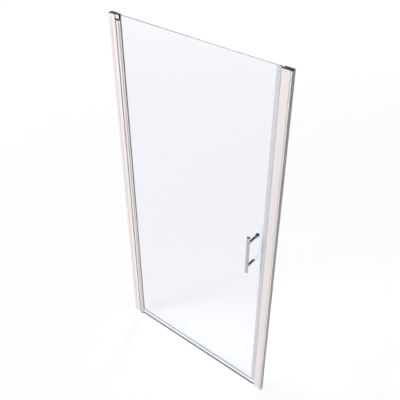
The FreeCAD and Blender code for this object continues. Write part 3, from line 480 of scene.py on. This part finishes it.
def panHead(size):
    # a pan head with a cross recess
    shank, head, height = size["shank"], size["head"], size["height"]
    straight = height * screws["headEdge"]
    reach = head * screws["recess"]
    crown = [(head * r, straight + (height - straight) * h) for r, h in screws["crown"]]
    bm = spin([
        (0, -size["length"]), (shank * screws["tipRadius"], -size["length"]),
        (shank, -size["length"] * screws["tipStart"]), (shank, 0),
        (head, 0), (head, straight), *crown, (reach, height),
    ])
    socket(bm, height, reach * screws["recessReach"], cross, height * screws["recessDepth"])
    return bm


def screwRows():
    # six screws lock the frame profiles, four hold the pivot blocks, and two grub screws
    # hold the post's inserts
    low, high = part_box("lock_screws")
    size = screws["lock"]
    left, right = low.x + size["head"] * mm, high.x - size["head"] * mm
    bottom, top = low.z + size["head"] * mm, high.z - size["head"] * mm
    back = high.y - size["height"] * mm
    bm = panHead(size)
    bmesh.ops.transform(bm, matrix=upToBack, verts=bm.verts)
    places = [Vector((x, back, z)) for x in (left, right) for z in (bottom, (bottom + top) / 2, top)]
    finishPiece(copiesAt(bm, places), "lockScrews", "frame", "steel_fasteners", "lock_screws")

    cover = screws["cover"]
    radius, height, wall = cover["radius"], cover["height"], cover["wall"]
    edge = height * cover["shoulder"]
    angles = [math.radians(a) for a in range(0, 91, 15)]
    dome = [(radius * math.sin(a), edge + (height - edge) * math.cos(a)) for a in angles]
    inside = [(0, height - wall), (radius - wall, edge), (radius - wall, 0), (radius, 0)]
    bm = spin(inside + dome[::-1], cover["steps"])
    bmesh.ops.transform(bm, matrix=upToBack, verts=bm.verts)
    finishPiece(copiesAt(bm, places), "screwCovers", "frame", "grey_plastic", "screw_covers")

    low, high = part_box("pivot_block_screws")
    size = screws["block"]
    centre, back = (low.x + high.x) / 2, high.y - size["height"] * mm
    bottom, top = low.z + size["head"] * mm, high.z - size["head"] * mm
    pitch = size["pitch"] * mm
    bm = panHead(size)
    bmesh.ops.transform(bm, matrix=upToBack, verts=bm.verts)
    places = [Vector((centre, back, z)) for z in (bottom, bottom + pitch, top - pitch, top)]
    finishPiece(copiesAt(bm, places), "pivotBlockScrews", "frame", "steel_fasteners", "pivot_block_screws")

    low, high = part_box("post_grub_screws")
    size = screws["grub"]
    radius, edge, length = size["radius"], size["edge"], (high.y - low.y) / mm
    bm = spin([
        (0, 0), (radius, 0), (radius, length - edge), (radius - edge, length),
        (size["socket"] * screws["socketRim"], length),
    ])
    socket(bm, length, size["socket"], hexagon, size["depth"])
    bmesh.ops.transform(bm, matrix=upToBack, verts=bm.verts)
    centre = (low.x + high.x) / 2
    places = [Vector((centre, low.y, z)) for z in (low.z + radius * mm, high.z - radius * mm)]
    finishPiece(copiesAt(bm, places), "postGrubScrews", "door", "steel_fasteners", "post_grub_screws")


def handleScrew():
    # the socket screw under the clear button, which holds the lower end of the bar
    low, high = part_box("handle_screw")
    size = screws["handle"]
    start, end, edge = low.y / mm, high.y / mm, size["edge"]
    shank, head, under = size["shank"], size["head"], high.y / mm - size["height"]
    bm = spin([
        (0, start), (shank - edge, start), (shank, start + edge), (shank, under), (head, under),
        (head, end - edge), (head - edge, end), (size["socket"] * screws["socketRim"], end),
    ])
    socket(bm, end, size["socket"], hexagon, size["depth"])
    layInPlace(bm, low, high)
    finishPiece(bm, "handleScrew", "door", "steel_fasteners", "handle_screw")


screwRows()
handleScrew()
print("screws and covers")


studio = dict(
    floorSize=40,                     # m
    floorColour="#DADADA",
    shadowPaint="#A0A0A0",            # how strongly the door's shadow shows on the white floor
    whiteLevel=0.81,                  # with the lamps' light near the door, this makes it white
    wallHeight=0.34,                  # sine of the angle up to which the room's walls are white
    ceilingStart=0.42,                # sine of the angle from which the ceiling is dark
    ceilingLevel=0.03,
    ambient=0.11,
    # the key is low and far off, so that it lights the door evenly
    key=dict(place=(-6.9, -11.0, 3.4), size=4.0, power=1560),
    # the fill is for the side inside the shower
    fill=dict(place=(-6.5, 11.2, 3.4), size=5.0, power=900),
    aim=(0, 0, 1),                    # the middle of the door, which both lamps face
)


def seenRays(tree):
    # 1 where the eye, metal or glass looks at the room, 0 where it only lights the door
    path = addNode(tree, "ShaderNodeLightPath")
    seen = path.outputs["Is Camera Ray"]
    for ray in ("Is Glossy Ray", "Is Transmission Ray"):
        seen = addNode(tree, "ShaderNodeMath", {
            0: seen, 1: path.outputs[ray],
        }, operation="MAXIMUM").outputs[0]
    return seen


def makeFloor():
    # plain pale paint; to the eye and in reflections it is white near the door, with a faint
    # trace of the door's shadow, and a little greyer far off
    material, tree = newTree("paintedFloorMatt")
    paint = addNode(tree, "ShaderNodeBsdfDiffuse", {"Color": toLinear(studio["floorColour"])})
    shaded = addNode(tree, "ShaderNodeBsdfDiffuse", {"Color": toLinear(studio["shadowPaint"])})
    white = addNode(tree, "ShaderNodeEmission", {"Color": (1, 1, 1, 1), "Strength": studio["whiteLevel"]})
    shown = addNode(tree, "ShaderNodeAddShader", {0: shaded.outputs[0], 1: white.outputs[0]})
    show(tree, addNode(tree, "ShaderNodeMixShader", {
        0: seenRays(tree), 1: paint.outputs[0], 2: shown.outputs[0],
    }))
    bm = bmesh.new()
    bmesh.ops.create_grid(bm, x_segments=8, y_segments=8, size=studio["floorSize"] / 2)
    mesh = bpy.data.meshes.new("floor")
    bm.to_mesh(mesh)
    bm.free()
    mesh.materials.append(material)
    floor = bpy.data.objects.new("floor", mesh)
    bpy.context.scene.collection.objects.link(floor)


def makeRoomLight():
    # a studio with white walls under a dark ceiling, which lights the door only a little
    world = bpy.data.worlds.new("room")
    bpy.context.scene.world = world
    world.use_nodes = True
    tree = world.node_tree
    tree.nodes.clear()
    toward = addNode(tree, "ShaderNodeTexCoord").outputs["Generated"]
    upward = addNode(tree, "ShaderNodeSeparateXYZ", {0: toward}).outputs["Z"]
    level = addNode(tree, "ShaderNodeMapRange", {
        "Value": upward, "From Min": studio["wallHeight"], "From Max": studio["ceilingStart"],
        "To Min": 1.0, "To Max": studio["ceilingLevel"],
    }, interpolation_type="SMOOTHSTEP").outputs["Result"]
    ambient = addNode(tree, "ShaderNodeBackground", {"Color": (1, 1, 1, 1), "Strength": studio["ambient"]})
    room = addNode(tree, "ShaderNodeBackground", {"Color": (1, 1, 1, 1), "Strength": level})
    mix = addNode(tree, "ShaderNodeMixShader", {0: seenRays(tree), 1: ambient.outputs[0], 2: room.outputs[0]})
    addNode(tree, "ShaderNodeOutputWorld", {"Surface": mix.outputs[0]})


def makeLamp(name):
    # a square soft box, turned to the middle of the door
    lamp = bpy.data.lights.new(name, "AREA")
    lamp.shape = "SQUARE"
    lamp.size = studio[name]["size"]
    lamp.energy = studio[name]["power"]
    place = Vector(studio[name]["place"])
    holder = bpy.data.objects.new(name, lamp)
    holder.location = place
    holder.rotation_euler = (Vector(studio["aim"]) - place).to_track_quat("-Z", "Y").to_euler()
    bpy.context.scene.collection.objects.link(holder)


view = dict(                          # as the photo's straight edges gave it
    place=(1.50548, -1.78887, 2.89468),     # m
    tilt=52.79,                       # degrees from straight down
    turn=39.17,                       # degrees
    focal=53.49,                      # mm, on a sensor of the width below
    sensor=36,                        # mm
    farthest=100,                     # m
)


def makeCamera():
    lens = bpy.data.cameras.new("camera")
    lens.sensor_width = view["sensor"]
    lens.lens = view["focal"]
    lens.clip_end = view["farthest"]
    camera = bpy.data.objects.new("camera", lens)
    camera.location = view["place"]
    camera.rotation_euler = (math.radians(view["tilt"]), 0, math.radians(view["turn"]))
    bpy.context.scene.collection.objects.link(camera)
    bpy.context.scene.camera = camera


makeFloor()
makeRoomLight()
makeLamp("key")
makeLamp("fill")
makeCamera()
bpy.context.scene.view_settings.view_transform = "Standard"
print("floor, light and camera")
